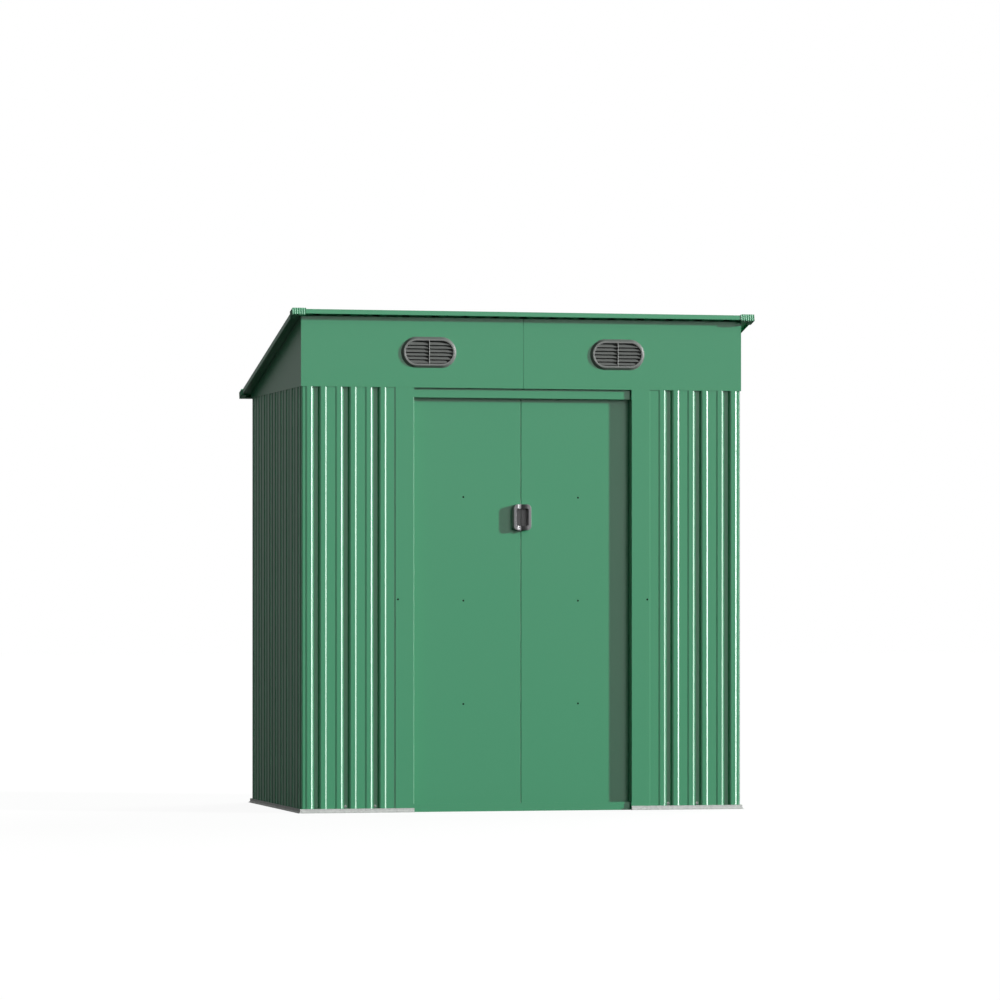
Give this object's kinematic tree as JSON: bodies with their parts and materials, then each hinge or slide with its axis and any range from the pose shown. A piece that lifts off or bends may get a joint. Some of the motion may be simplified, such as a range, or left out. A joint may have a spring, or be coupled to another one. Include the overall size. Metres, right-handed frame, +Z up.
{
  "type": "metal storage shed with a pent roof",
  "caption": "Green ribbed sheet-metal garden shed with a mono-pitch roof, flat vented fascia, sliding double doors and a galvanised base rail.",
  "frame": {"origin": "on the ground under the middle of the roof's outline", "axes": "+X to the right seen from the front, +Y to the back, +Z up"},
  "size_m": [1.9338, 1.2072, 2.0359],
  "materials": {
    "green_steel": "pre-painted green sheet steel, satin",
    "galvanised_steel": "hot-dip galvanised, dull spangle",
    "vent_plastic": "grey moulded plastic, satin",
    "cap_plastic": "green moulded plastic, satin",
    "handle_plastic": "silver-grey moulded plastic, semi-gloss",
    "slide_plastic": "dark moulded plastic"
  },
  "bodies": {
    "shed": {"base_rail_front_left": "galvanised_steel", "base_rail_front_right": "galvanised_steel", "base_rail_left": "galvanised_steel", "base_rail_right": "galvanised_steel", "base_rail_rear": "galvanised_steel", "front_wall_left": "green_steel", "front_wall_right": "green_steel", "left_wall_front": "green_steel", "left_wall_rear": "green_steel", "right_wall_front": "green_steel", "right_wall_rear": "green_steel", "rear_wall_left": "green_steel", "rear_wall_middle": "green_steel", "rear_wall_right": "green_steel", "wall_top_rails": "galvanised_steel", "wall_mid_rails": "galvanised_steel", "left_jamb": "green_steel", "right_jamb": "green_steel", "door_header": "green_steel", "door_sill": "green_steel", "front_fascia_left": "green_steel", "front_fascia_right": "green_steel", "left_gable": "green_steel", "right_gable": "green_steel", "left_vent": "vent_plastic", "right_vent": "vent_plastic", "roof_sheet_left": "green_steel", "roof_sheet_middle": "green_steel", "roof_sheet_right": "green_steel", "roof_beam": "galvanised_steel", "roof_trim_front": "green_steel", "roof_trim_rear": "green_steel", "roof_trim_left": "green_steel", "roof_trim_right": "green_steel", "roof_corner_caps": "cap_plastic"},
    "left_door": {"left_door_leaf": "green_steel", "left_door_braces": "galvanised_steel", "left_door_handle": "handle_plastic", "left_door_slides": "slide_plastic"},
    "right_door": {"right_door_leaf": "green_steel", "right_door_lip": "green_steel", "right_door_braces": "galvanised_steel", "right_door_handle": "handle_plastic", "right_door_slides": "slide_plastic"}
  },
  "joints": [
    {"name": "left_door_slide", "type": "slide", "parent": "shed", "child": "left_door", "axis": [-1, 0, 0], "range_m": [0, 0.41]},
    {"name": "right_door_slide", "type": "slide", "parent": "shed", "child": "right_door", "axis": [1, 0, 0], "range_m": [0, 0.41]}
  ]
}
